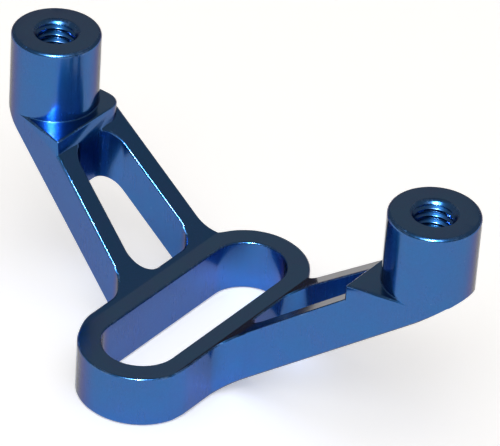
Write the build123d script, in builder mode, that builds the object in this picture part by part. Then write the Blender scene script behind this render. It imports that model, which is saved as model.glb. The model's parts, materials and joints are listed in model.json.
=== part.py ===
"""Twin-boss mounting bracket, milled in one piece from blue-anodised aluminium.

A flat slotted ring is the foot. Two windowed arms rise from its sides and end in pads, each with a
round boss that has a tapped hole. Millimetres, +Z up. The origin is the middle of the ring's slot on
the underside, X runs from one boss to the other, and the bracket is symmetric about the YZ plane.
"""
import os
from math import cos, radians, sin, tan

from build123d import *

# Foot: a stadium-shaped ring with a long slot
ring_slot_width = 6.8
ring_slot_centres = 15.0
ring_wall = 2.1
ring_height = 5.0

# Bosses
boss_diameter = 8.0
boss_spacing = 41.0
boss_forward = 4.9
boss_top = 21.75
pad_top = 14.75
boss_rim_fillet = 0.35
boss_root_fillet = 0.1

# Tapped hole: M4 x 0.7, drawn at the tapping drill's diameter
tap_drill_diameter = 3.3
hole_mouth_diameter = 4.25
countersink_angle = 90

# Arms: the outer wall leans inwards by arm_taper in plan, and the whole arm climbs at arm_climb
arm_taper = 13.5
arm_climb = 37.75
slope_start_top = 5.05
slope_start_bottom = 5.2
pad_front = 15.7
pad_corner_fillet = 1.7
junction_fillet = 2.5

# Windows through the arms
rail_width = 2.05
window_fillet = 1.9

# All free edges below the bosses
edge_break = 0.17

boss_radius = boss_diameter / 2
boss_x = boss_spacing / 2
ring_radius = ring_slot_width / 2 + ring_wall
climb = tan(radians(arm_climb))
taper = radians(arm_taper)
inner_wall_y = boss_forward + boss_radius
tangent_x = boss_x + boss_radius * sin(taper)
tangent_y = boss_forward - boss_radius * cos(taper)
reach = boss_x + 2 * boss_radius
depth = 4 * ring_radius + ring_slot_centres


def outer_wall_y(x):
    """The outer wall's Y at a distance x from the middle plane: a line that touches the boss."""
    return tangent_y - (tangent_x - x) * tan(taper)


def outer_rail_y(x):
    """The window's side of the outer rail at a distance x from the middle plane."""
    return outer_wall_y(x) + rail_width / cos(taper)


def is_outside_corner(edge):
    """True where two faces meet at an outside corner."""
    return not edge.is_interior


def is_step_corner(edge):
    """True for the short upright corners at the front of each pad."""
    return abs(abs(edge.center().X) - pad_front) < edge_break and is_outside_corner(edge)


# The space below the climbing arms and the outer ends of the bosses
with BuildPart() as under_arms:
    with BuildSketch(Plane.XZ):
        for side in (1, -1):
            with BuildLine():
                Polyline(
                    (side * slope_start_bottom, 0),
                    (side * reach, (reach - slope_start_bottom) * climb),
                    (side * reach, -ring_height),
                    (side * slope_start_bottom, -ring_height),
                    close=True,
                )
            make_face()
    extrude(amount=depth, both=True)

# The rounded inside corner where a boss stands on its pad, clear of the pad's broken edges
with BuildPart() as boss_roots:
    with BuildSketch(Plane.XZ.offset(-boss_forward)):
        with Locations((boss_x, pad_top)):
            Rectangle(boss_radius + boss_root_fillet, boss_root_fillet, align=Align.MIN)
        with Locations((boss_x + boss_radius + boss_root_fillet, pad_top + boss_root_fillet)):
            Circle(boss_root_fillet, mode=Mode.SUBTRACT)
    revolve(axis=Axis((boss_x, boss_forward, 0), (0, 0, 1)))
    with BuildSketch(Plane.XY.offset(pad_top)):
        with BuildLine():
            Polyline(
                (pad_front, outer_wall_y(pad_front) + edge_break / cos(taper)),
                (boss_x, outer_wall_y(boss_x) + edge_break / cos(taper)),
                (boss_x, inner_wall_y - edge_break),
                (pad_front, inner_wall_y - edge_break),
                close=True,
            )
        make_face()
    extrude(amount=boss_root_fillet, mode=Mode.INTERSECT)
    mirror(about=Plane.YZ)

with BuildPart() as bracket:
    # Plan of the foot, the arms and the bosses' roots, with rounded inside corners
    with BuildSketch():
        SlotCenterToCenter(ring_slot_centres, 2 * ring_radius, rotation=90)
        for side in (1, -1):
            with BuildLine():
                Polyline(
                    (0, outer_wall_y(0)),
                    (side * tangent_x, tangent_y),
                    (side * boss_x, inner_wall_y),
                    (0, inner_wall_y),
                    close=True,
                )
            make_face()
        with Locations((boss_x, boss_forward), (-boss_x, boss_forward)):
            Circle(boss_radius)
        arm_roots = vertices().filter_by_position(Axis.X, -ring_radius - 1, ring_radius + 1)
        arm_roots = arm_roots.filter_by_position(Axis.Y, outer_wall_y(0), inner_wall_y + 1)
        fillet(arm_roots, junction_fillet)
    extrude(amount=pad_top)

    # Everything above the ring and the climbing arms, up to the front of the pads
    with BuildSketch(Plane.XZ):
        with BuildLine():
            foot_z = ring_height + (pad_front - slope_start_top) * climb
            Polyline(
                (-pad_front, boss_top),
                (-pad_front, foot_z),
                (-slope_start_top, ring_height),
                (slope_start_top, ring_height),
                (pad_front, foot_z),
                (pad_front, boss_top),
                close=True,
            )
        make_face()
    extrude(amount=depth, both=True, mode=Mode.SUBTRACT)

    # The slanted underside, which runs on under the bosses
    add(under_arms.part, mode=Mode.SUBTRACT)

    # Slot in the ring
    with BuildSketch():
        SlotCenterToCenter(ring_slot_centres, ring_slot_width, rotation=90)
    extrude(amount=ring_height, mode=Mode.SUBTRACT)

    # Windows through the arms
    for side in (1, -1):
        with BuildSketch():
            with BuildLine():
                Polyline(
                    (side * ring_radius, outer_rail_y(ring_radius)),
                    (side * pad_front, outer_rail_y(pad_front)),
                    (side * pad_front, inner_wall_y - rail_width),
                    (side * ring_radius, inner_wall_y - rail_width),
                    close=True,
                )
            make_face()
            fillet(vertices(), window_fillet)
        extrude(amount=pad_top, mode=Mode.SUBTRACT)

    # Broken edges
    step_corners = edges().filter_by(Axis.Z).filter_by(is_step_corner).sort_by(Axis.Y)
    fillet(step_corners[-2:], pad_corner_fillet)
    lying_edges = edges().filter_by(Axis.Z, reverse=True).filter_by(is_outside_corner)
    step_corners = edges().filter_by(Axis.Z).filter_by(is_step_corner).sort_by(Axis.Y)
    chamfer(lying_edges + step_corners[:2], edge_break)

    # Bosses, cut on the same slant, which start just below the pads to cover their broken edges
    with BuildSketch(Plane.XY.offset(pad_top - edge_break)):
        with Locations((boss_x, boss_forward), (-boss_x, boss_forward)):
            Circle(boss_radius)
    extrude(amount=boss_top - pad_top + edge_break)
    add(under_arms.part, mode=Mode.SUBTRACT)
    fillet(edges().group_by(Axis.Z)[-1], boss_rim_fillet)
    add(boss_roots.part)

    # Tapped holes, through to the slanted underside
    with Locations((boss_x, boss_forward, boss_top), (-boss_x, boss_forward, boss_top)):
        CounterSinkHole(
            tap_drill_diameter / 2, hole_mouth_diameter / 2, counter_sink_angle=countersink_angle
        )

os.makedirs("parts", exist_ok=True)
bracket.part.label = "bracket"
bracket.part.color = Color(0.16, 0.33, 0.62)
export_step(bracket.part, "parts/bracket.step")
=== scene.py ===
"""Looks of the twin-boss bracket: real threads, softened edges, blue anodising and a small photo studio.

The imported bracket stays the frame. A copy of its mesh gets the two M4 threads cut into it, and stands for
the CAD node. Everything is in metres, +Z up.
"""
import json
from math import cos, pi, radians, sin, tan

import bmesh
import bpy
from mathutils import Matrix, Vector


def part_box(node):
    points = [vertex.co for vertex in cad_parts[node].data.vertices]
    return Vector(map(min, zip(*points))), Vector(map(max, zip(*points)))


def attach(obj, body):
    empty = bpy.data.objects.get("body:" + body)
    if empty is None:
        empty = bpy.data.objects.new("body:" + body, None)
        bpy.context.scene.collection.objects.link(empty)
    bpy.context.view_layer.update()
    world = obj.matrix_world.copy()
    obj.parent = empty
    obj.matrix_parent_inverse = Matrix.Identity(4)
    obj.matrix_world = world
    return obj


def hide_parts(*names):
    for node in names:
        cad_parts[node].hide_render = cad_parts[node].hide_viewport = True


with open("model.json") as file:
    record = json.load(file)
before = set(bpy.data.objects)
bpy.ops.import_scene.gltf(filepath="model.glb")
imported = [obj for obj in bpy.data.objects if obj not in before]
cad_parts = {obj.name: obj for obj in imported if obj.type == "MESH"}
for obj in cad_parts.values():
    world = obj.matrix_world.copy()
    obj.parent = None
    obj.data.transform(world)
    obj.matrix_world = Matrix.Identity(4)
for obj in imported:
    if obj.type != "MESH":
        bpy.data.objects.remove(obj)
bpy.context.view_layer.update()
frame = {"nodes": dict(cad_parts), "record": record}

MM = 0.001

# Thread: M4 x 0.7, with the ISO profile's flats and its corners worn round. Its crests stand just outside
# the drilled bore, so the cut leaves nothing of the bore's own wall.
PITCH = 0.7 * MM
MAJOR_RADIUS = 2.0 * MM
MINOR_RADIUS = 1.655 * MM
ROOT_FLAT = PITCH / 8
FLANK_ANGLE = radians(30)
CREST_ROUND = 0.07 * MM
ROOT_ROUND = 0.06 * MM
ROUND_STEPS = 3
STEPS_PER_TURN = 60

# Where the thread starts: its first groove's depth below the boss's top, at this angle round the hole
FIRST_GROOVE = 0.55 * MM
FIRST_GROOVE_ANGLE = radians(125)

# The thread cutter has this many more turns than the bracket's height takes, and ends in a point at this
# height above the bosses
SPARE_TURNS = 3
POINT_HEIGHT = 3 * PITCH

# Shading: which corners stay crisp, and how near a face's slope is to one of the bracket's main slopes
ARM_CLIMB = radians(37.75)
CONVEX_LIMIT = radians(50)
CONCAVE_LIMIT = radians(35)
SLOPE_MATCH = 0.02

# Vertices closer than this are one, before the threads are cut and after
WELD = 0.001 * MM
FINE_WELD = 0.0002 * MM


def new_object(name, data):
    """An object in the scene that shows a mesh, a camera or a light."""
    obj = bpy.data.objects.new(name, data)
    bpy.context.scene.collection.objects.link(obj)
    return obj


# ---------------------------------------------------------------------------------------------------
# Bracket
# ---------------------------------------------------------------------------------------------------


def thread_profile():
    """One turn of the thread as (radius, height) points, from the middle of one crest to the next."""
    rise = (MAJOR_RADIUS - MINOR_RADIUS) * tan(FLANK_ANGLE)
    half_crest = (PITCH - ROOT_FLAT - 2 * rise) / 2
    corners = (
        ((MINOR_RADIUS, half_crest), CREST_ROUND),
        ((MAJOR_RADIUS, half_crest + rise), ROOT_ROUND),
        ((MAJOR_RADIUS, half_crest + rise + ROOT_FLAT), ROOT_ROUND),
        ((MINOR_RADIUS, PITCH - half_crest), CREST_ROUND),
    )
    start, end = Vector((MINOR_RADIUS, 0)), Vector((MINOR_RADIUS, PITCH))
    line = [start] + [Vector(place) for place, rounding in corners] + [end]
    points = [start]

    # Each corner becomes a short arc that touches the line on both sides of it
    for before, corner, after, (place, rounding) in zip(line, line[1:], line[2:], corners):
        back = (before - corner).normalized()
        ahead = (after - corner).normalized()
        turn = pi - back.angle(ahead)
        reach = rounding * tan(turn / 2)
        centre = corner + (back + ahead).normalized() * rounding / cos(turn / 2)
        first = corner + back * reach - centre
        spin = 1 if first.cross(corner + ahead * reach - centre) > 0 else -1
        for step in range(ROUND_STEPS):
            share = step / (ROUND_STEPS - 1)
            points.append(centre + Matrix.Rotation(spin * turn * share, 2) @ first)
    return points


def thread_cutter(hole, low, high):
    """A closed screw-shaped solid whose surface is the thread to be left in the hole."""
    profile = thread_profile()
    turns = int((high - low) / PITCH) + SPARE_TURNS
    columns = turns * STEPS_PER_TURN

    # The first groove is on the last turn but one, half a pitch up the profile
    grooves_below = turns - 2 + 0.5 + FIRST_GROOVE_ANGLE / (2 * pi)
    bottom = high - FIRST_GROOVE - grooves_below * PITCH

    # Vertices: the whole profile at each step, then a turn of its first point to close the last turn
    screw = bmesh.new()
    helix = []
    for step in range(columns + STEPS_PER_TURN + 1):
        angle = 2 * pi * step / STEPS_PER_TURN
        x, y = cos(angle), sin(angle)
        height = bottom + PITCH * step / STEPS_PER_TURN
        points = profile if step <= columns else profile[:1]
        helix.append([
            screw.verts.new((hole.x + radius * x, hole.y + radius * y, height + up))
            for radius, up in points
        ])

    # Sides: each column of faces ends on the first point of the turn above
    for step in range(columns):
        column = [*helix[step], helix[step + STEPS_PER_TURN][0]]
        next_column = [*helix[step + 1], helix[step + STEPS_PER_TURN + 1][0]]
        for k in range(len(profile)):
            screw.faces.new((column[k], next_column[k], next_column[k + 1], column[k + 1]))

    # Ends: a fan from one point to the rim, which is one turn of the crest and the profile's step
    bottom_rim = [helix[step][0] for step in range(STEPS_PER_TURN + 1)]
    bottom_rim += helix[0][:0:-1]
    top_rim = [helix[columns + step][0] for step in range(STEPS_PER_TURN + 1)]
    top_rim += helix[columns][:0:-1]
    bottom_point = screw.verts.new((hole.x, hole.y, bottom - PITCH))
    top_point = screw.verts.new((hole.x, hole.y, high + POINT_HEIGHT))
    for rim, point in ((bottom_rim[::-1], bottom_point), (top_rim, top_point)):
        for here, ahead in zip(rim, rim[1:] + rim[:1]):
            screw.faces.new((here, ahead, point))
    bmesh.ops.recalc_face_normals(screw, faces=screw.faces)
    cutter_mesh = bpy.data.meshes.new("thread_cutter")
    screw.to_mesh(cutter_mesh)
    screw.free()
    return new_object("thread_cutter", cutter_mesh)


def cut_threads(piece, holes, low, high):
    """Leave a thread in each hole, all the way from the lowest to the highest point of the piece."""
    for hole in holes:
        cutter = thread_cutter(hole, low, high)
        cut = piece.modifiers.new("thread", "BOOLEAN")
        cut.operation = "DIFFERENCE"
        cut.solver = "EXACT"
        cut.object = cutter
        graph = bpy.context.evaluated_depsgraph_get()
        threaded = bpy.data.meshes.new_from_object(piece.evaluated_get(graph), depsgraph=graph)
        piece.modifiers.clear()
        piece.data = threaded
        bpy.data.objects.remove(cutter)


def corner_edges(corner):
    """The two edges of a face that meet at one of its corners."""
    return corner.edge, corner.link_loop_prev.edge


def smooth_fans(vertex):
    """The face corners at a vertex, grouped so that each group shares one shading normal."""
    left = list(vertex.link_loops)
    fans = []
    while left:
        fan = [left.pop()]
        for corner in fan:
            smooth_edges = [edge for edge in corner_edges(corner) if edge.smooth]
            joined = [near for near in left if any(edge in smooth_edges for edge in corner_edges(near))]
            for near in joined:
                left.remove(near)
                fan.append(near)
        fans.append(fan)
    return fans


def soften_edges(piece, main_slopes):
    """Crisp corners stay sharp; each narrow broken edge is shaded round and marked for wear.

    A slope is given as the height of its face's normal, from 0 on a wall to 1 on a level face. Where a
    broken edge meets a face on a main slope, the shading normal is that face's, so that the face stays
    flat and the broken edge takes all of the turn.
    """
    surface = bmesh.new()
    surface.from_mesh(piece.data)
    bmesh.ops.remove_doubles(surface, verts=surface.verts, dist=FINE_WELD)
    bmesh.ops.dissolve_degenerate(surface, edges=surface.edges, dist=FINE_WELD)
    broken = surface.faces.layers.float.new("broken_edge")
    slant = surface.faces.layers.float.new("narrow_slant")
    for face in surface.faces:
        face.smooth = True
        slanted = min(abs(abs(face.normal.z) - slope) for slope in main_slopes) > SLOPE_MATCH
        hollow = sum(edge.calc_face_angle_signed(0) for edge in face.edges) < 0
        face[broken] = 1.0 if slanted and not hollow else 0.0
        face[slant] = 1.0 if slanted else 0.0
    for edge in surface.edges:
        turn = edge.calc_face_angle_signed(0)
        edge.smooth = -CONCAVE_LIMIT < turn < CONVEX_LIMIT
    surface.normal_update()
    normal_at = {}
    for vertex in surface.verts:
        for fan in smooth_fans(vertex):
            main = [corner for corner in fan if corner.face[slant] == 0] or fan
            normal = sum((corner.face.normal * corner.calc_angle() for corner in main), Vector())
            for corner in fan:
                normal_at[corner] = normal.normalized()
    normals = [normal_at[corner] for face in surface.faces for corner in face.loops]
    surface.to_mesh(piece.data)
    surface.free()
    piece.data.normals_split_custom_set(normals)


def make_bracket(holes, low, high):
    """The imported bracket's mesh with real threads and soft edges, in place of its CAD node."""
    bracket_mesh = frame["nodes"]["bracket"].data.copy()
    surface = bmesh.new()
    surface.from_mesh(bracket_mesh)
    bmesh.ops.remove_doubles(surface, verts=surface.verts, dist=WELD)
    surface.to_mesh(bracket_mesh)
    surface.free()
    piece = new_object("bracket_threaded", bracket_mesh)
    cut_threads(piece, holes, low.z, high.z)
    soften_edges(piece, (0, cos(ARM_CLIMB), 1))
    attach(piece, "root")
    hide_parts("bracket")
    return piece


# ---------------------------------------------------------------------------------------------------
# Material
# ---------------------------------------------------------------------------------------------------

# Colours: the dye, its more violet patches, the paler metal of worn edges and pits, and the tint of
# reflections at grazing angles
DYE_BLUE = (0.01, 0.114, 0.345, 1)
DYE_VIOLET = (0.018, 0.105, 0.335, 1)
BARE_EDGE = (0.2, 0.3, 0.48, 1)
GRAZING_TINT = (0.05, 0.05, 0.05, 1)

# How fine each noise is, in cells per metre
GRAIN_SCALE = 7000
SIDE_MARK_SCALE = 4500
FACE_MARK_SCALE = 5200
SPOT_MARK_SCALE = 9000
MOTTLE_SCALE = 420
WEAR_SCALE = 900
PIT_SCALE = 2600

# The noise of the side marks changes this much slower upwards than across, which draws it out into lines
SIDE_MARK_STRETCH = 0.02

# Relief: each mark's height, counted in steps of the bump
BUMP_STEP = 0.0025 * MM
GRAIN_HEIGHT = 0.5
SIDE_MARK_HEIGHT = 0.35
FACE_MARK_HEIGHT = 0.6
SPOT_MARK_HEIGHT = 4.0
PIT_HEIGHT = -2.0

# How much of the bare metal's colour shows on worn edges and in pits
WEAR_COLOUR = 0.3
PIT_COLOUR = 0.5

# Roughness: the dye's, from its lowest to its highest, and what side marks and wear add to it
DYE_ROUGHNESS = (0.22, 0.27)
SIDE_MARK_ROUGHNESS = (-0.02, 0.03)
WEAR_ROUGHNESS = 0.08

# Heights of a face's normal between which it stops being a wall, and becomes level
WALL_LEAN = (0.1, 0.5)
LEVEL_LEAN = (0.9, 0.98)

# Ranges of the noises between which a pattern goes from none to full
TINT_RANGE = (0.35, 0.65)
MOTTLE_RANGE = (0.3, 0.7)
GRAIN_RANGE = (0.25, 0.75)
SIDE_MARK_RANGE = (0.3, 0.7)
WEAR_RANGE = (0.48, 0.68)
PIT_RANGE = (0.79, 0.84)

# How much the grain darkens and lightens the dye
GRAIN_FLECKS = (0.9, 1.1)


class Graph:
    """Short forms for wiring a material's nodes."""

    def __init__(self, name):
        self.material = bpy.data.materials.new(name)
        self.material.use_nodes = True
        self.tree = self.material.node_tree
        self.shader = self.tree.nodes["Principled BSDF"]

    def put(self, socket, value):
        """Set a socket to a number or a colour, or link another node's output to it."""
        if isinstance(value, bpy.types.NodeSocket):
            self.tree.links.new(value, socket)
        else:
            socket.default_value = value

    def node(self, kind, settings=None, **inputs):
        """A new node with its settings, and its inputs by name."""
        node = self.tree.nodes.new(kind)
        for key, value in (settings or {}).items():
            setattr(node, key, value)
        for key, value in inputs.items():
            self.put(node.inputs[key], value)
        return node

    def math(self, operation, *values):
        node = self.node("ShaderNodeMath", {"operation": operation})
        for socket, value in zip(node.inputs, values):
            self.put(socket, value)
        return node.outputs[0]

    def add(self, first, second):
        return self.math("ADD", first, second)

    def times(self, first, second):
        return self.math("MULTIPLY", first, second)

    def point(self, **coordinates):
        return self.node("ShaderNodeCombineXYZ", **coordinates).outputs[0]

    def noise(self, vector, scale, detail, roughness=0.5):
        inputs = {"Vector": vector, "Scale": scale, "Detail": detail, "Roughness": roughness}
        return self.node("ShaderNodeTexNoise", **inputs).outputs["Fac"]

    def remap(self, value, between, to=(0.0, 1.0)):
        """The value, clamped to a range and then stretched to another."""
        node = self.node("ShaderNodeMapRange", Value=value)
        for key, number in zip(("From Min", "From Max", "To Min", "To Max"), (*between, *to)):
            self.put(node.inputs[key], number)
        return node.outputs[0]

    def blend(self, factor, first, second):
        """A mix of two colours. Of the mix node's many sockets, only those for colours are enabled."""
        node = self.node("ShaderNodeMix", {"data_type": "RGBA"})
        sockets = [socket for socket in node.inputs if socket.enabled]
        for socket, value in zip(sockets, (factor, first, second)):
            self.put(socket, value)
        return next(socket for socket in node.outputs if socket.enabled)


def cutter_marks(g, place, boss_axis, boss_radius):
    """The marks that milling leaves: their height, and what they add to the roughness of the walls."""
    x, y, z = g.node("ShaderNodeSeparateXYZ", Vector=place).outputs
    facing = g.node("ShaderNodeNewGeometry").outputs["Normal"]
    lean = g.math("ABSOLUTE", g.node("ShaderNodeSeparateXYZ", Vector=facing).outputs["Z"])
    wall = g.remap(lean, WALL_LEAN, to=(1.0, 0.0))
    level = g.remap(lean, LEVEL_LEAN)

    # The side of the cutter: fine upright lines on the walls
    stretched = g.point(X=x, Y=y, Z=g.times(z, SIDE_MARK_STRETCH))
    side_marks = g.noise(stretched, SIDE_MARK_SCALE, detail=2)
    height = g.times(g.times(side_marks, wall), SIDE_MARK_HEIGHT)
    roughness = g.times(wall, g.remap(side_marks, SIDE_MARK_RANGE, to=SIDE_MARK_ROUGHNESS))

    # The cutter's face: fine rings round each boss on the level faces
    across = g.math("SUBTRACT", g.math("ABSOLUTE", x), boss_axis.x)
    along = g.math("SUBTRACT", y, boss_axis.y)
    from_axis = g.math("SQRT", g.add(g.times(across, across), g.times(along, along)))
    face_marks = g.noise(g.point(X=from_axis), FACE_MARK_SCALE, detail=2)
    height = g.add(height, g.times(g.times(face_marks, level), FACE_MARK_HEIGHT))

    # Finer but deeper rings that the end mill left round the foot of each boss
    spot_marks = g.noise(g.point(X=from_axis), SPOT_MARK_SCALE, detail=2)
    near_boss = g.remap(from_axis, (boss_radius, 2 * boss_radius), to=(1.0, 0.0))
    outside = g.math("GREATER_THAN", from_axis, boss_radius)
    here = g.times(level, g.times(near_boss, outside))
    height = g.add(height, g.times(g.times(spot_marks, here), SPOT_MARK_HEIGHT))
    return height, roughness


def anodised_aluminium(boss_axis, boss_radius):
    """Dyed oxide over satin aluminium, with tool marks, mottled dye and paler worn edges."""
    g = Graph("anodised_aluminium")
    place = g.node("ShaderNodeTexCoord").outputs["Object"]
    marks, mark_roughness = cutter_marks(g, place, boss_axis, boss_radius)

    # Satin grain all over, and sparse pits
    grain = g.noise(place, GRAIN_SCALE, detail=3, roughness=0.6)
    pits = g.remap(g.noise(place, PIT_SCALE, detail=1), PIT_RANGE)

    # Mottled dye
    mottle = g.noise(place, MOTTLE_SCALE, detail=4, roughness=0.65)
    tint = g.blend(g.remap(mottle, TINT_RANGE), DYE_BLUE, DYE_VIOLET)
    flecks = g.remap(grain, GRAIN_RANGE, to=GRAIN_FLECKS)
    dyed = g.node("ShaderNodeVectorMath", {"operation": "SCALE"}, Vector=tint, Scale=flecks).outputs[0]

    # Worn edges, in patches
    broken = g.node("ShaderNodeAttribute", {"attribute_name": "broken_edge"}).outputs["Fac"]
    patches = g.remap(g.noise(place, WEAR_SCALE, detail=4, roughness=0.7), WEAR_RANGE)
    worn = g.times(broken, patches)

    colour = g.blend(g.times(worn, WEAR_COLOUR), dyed, BARE_EDGE)
    colour = g.blend(g.times(pits, PIT_COLOUR), colour, BARE_EDGE)
    g.put(g.shader.inputs["Base Color"], colour)

    roughness = g.add(g.remap(mottle, MOTTLE_RANGE, to=DYE_ROUGHNESS), g.times(worn, WEAR_ROUGHNESS))
    roughness = g.add(roughness, mark_roughness)
    g.put(g.shader.inputs["Roughness"], roughness)

    height = g.add(g.times(grain, GRAIN_HEIGHT), marks)
    height = g.add(height, g.times(pits, PIT_HEIGHT))
    bump = g.node("ShaderNodeBump", Height=height, Distance=BUMP_STEP, Strength=1.0)
    g.put(g.shader.inputs["Normal"], bump.outputs["Normal"])

    g.shader.inputs["Metallic"].default_value = 1.0
    g.shader.inputs["Specular Tint"].default_value = GRAZING_TINT
    g.shader.inputs["Coat Weight"].default_value = 0.75
    g.shader.inputs["Coat Roughness"].default_value = 0.12
    g.shader.inputs["Coat IOR"].default_value = 1.5
    return g.material


# ---------------------------------------------------------------------------------------------------
# Studio
# ---------------------------------------------------------------------------------------------------

# Camera: its heading from +Y towards -X, how far it looks down, how far it leans, and what it looks at
CAMERA_HEADING = radians(35.5)
CAMERA_DROP = radians(35.1)
CAMERA_ROLL = radians(4.0)
CAMERA_AIM = Vector((0.00343, 0.00253, 0.01376))
CAMERA_DISTANCE = 0.35505
CAMERA_LENS = 298.2
CAMERA_CLIP_START = 0.01

# Floor: a pale sheet that glows a little, as paper in a light tent does
FLOOR_HALF_WIDTH = 2.0
FLOOR_COLOUR = (0.88, 0.9, 0.92, 1)
FLOOR_GLOW_COLOUR = (1, 1, 1, 1)
FLOOR_GLOW = 0.42

WORLD_COLOUR = (0.265, 0.225, 0.185, 1)
WHITE = (1, 1, 1)
WARM_CARD = (0.44, 0.27, 0.1)


def make_camera():
    heading, drop = CAMERA_HEADING, CAMERA_DROP
    forward = Vector((-sin(heading) * cos(drop), cos(heading) * cos(drop), -sin(drop)))
    level = Vector((cos(heading), sin(heading), 0))
    upright = level.cross(forward)
    right = level * cos(CAMERA_ROLL) + upright * sin(CAMERA_ROLL)
    up = upright * cos(CAMERA_ROLL) - level * sin(CAMERA_ROLL)
    optics = bpy.data.cameras.new("camera")
    optics.lens = CAMERA_LENS
    optics.clip_start = CAMERA_CLIP_START
    camera = new_object("camera", optics)
    axes = Matrix((right, up, -forward)).transposed()
    camera.matrix_world = Matrix.Translation(CAMERA_AIM - forward * CAMERA_DISTANCE) @ axes.to_4x4()
    bpy.context.scene.camera = camera


def make_floor():
    half = FLOOR_HALF_WIDTH
    corners = [(-half, -half, 0), (half, -half, 0), (half, half, 0), (-half, half, 0)]
    sheet = bpy.data.meshes.new("floor")
    sheet.from_pydata(corners, [], [(0, 1, 2, 3)])
    floor = new_object("floor", sheet)
    material = bpy.data.materials.new("floor_white")
    material.use_nodes = True
    shader = material.node_tree.nodes["Principled BSDF"]
    shader.inputs["Base Color"].default_value = FLOOR_COLOUR
    shader.inputs["Roughness"].default_value = 0.8
    shader.inputs["Specular IOR Level"].default_value = 0.1
    shader.inputs["Emission Color"].default_value = FLOOR_GLOW_COLOUR
    shader.inputs["Emission Strength"].default_value = FLOOR_GLOW
    sheet.materials.append(material)


def make_world():
    world = bpy.data.worlds.new("studio")
    world.use_nodes = True
    background = world.node_tree.nodes["Background"]
    background.inputs["Color"].default_value = WORLD_COLOUR
    bpy.context.scene.world = world
    bpy.context.scene.view_settings.view_transform = "Standard"


def soft_box(
    name, azimuth, elevation, distance, size, power, color=WHITE, lights_floor=True, mirrored=True
):
    """A rectangular light that looks at the origin from a direction, azimuth counted from +X to +Y.

    It can be kept off matt surfaces, of which the floor is the only one, and out of reflections.
    """
    turn, rise = radians(azimuth), radians(elevation)
    outward = Vector((cos(turn) * cos(rise), sin(turn) * cos(rise), sin(rise)))
    lamp = bpy.data.lights.new(name, "AREA")
    lamp.shape = "RECTANGLE"
    lamp.size, lamp.size_y = size
    lamp.energy = power
    lamp.color = color
    light = new_object(name, lamp)
    facing = outward.to_track_quat("Z", "Y").to_matrix().to_4x4()
    light.matrix_world = Matrix.Translation(outward * distance) @ facing
    light.visible_diffuse = lights_floor
    light.visible_glossy = mirrored


def make_lights():
    """Two flashes, soft boxes in front and overhead, and a warm card behind the bracket."""
    soft_box("flash", -57.5, 52, distance=0.8, size=(0.16, 0.06), power=12.0, lights_floor=False)
    soft_box("low_flash", -57.5, 36.2, distance=0.8, size=(0.12, 0.03), power=5.0, lights_floor=False)
    soft_box("front", -60, 46, distance=0.8, size=(0.4, 0.3), power=1.5, lights_floor=False)
    soft_box("front_fill", -60, 55, distance=0.8, size=(0.5, 0.4), power=0.9)
    soft_box("overhead", -60, 78, distance=0.7, size=(0.9, 0.9), power=2.6, mirrored=False)
    soft_box(
        "back_card", 125.5, 35.1, distance=1.0, size=(0.24, 0.24), power=0.09, color=WARM_CARD,
        lights_floor=False,
    )


# ---------------------------------------------------------------------------------------------------
# Scene
# ---------------------------------------------------------------------------------------------------

low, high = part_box("bracket")
mounts = frame["record"]["mounts"]
holes = [Vector(mount["pos_m"]) for mount in mounts if mount["kind"] == "threaded_hole"]
boss_axis = Vector((abs(holes[0].x), holes[0].y, 0))
boss_radius = high.x - boss_axis.x

bracket = make_bracket(holes, low, high)
bracket.data.materials.clear()
bracket.data.materials.append(anodised_aluminium(boss_axis, boss_radius))
make_floor()
make_world()
make_lights()
make_camera()
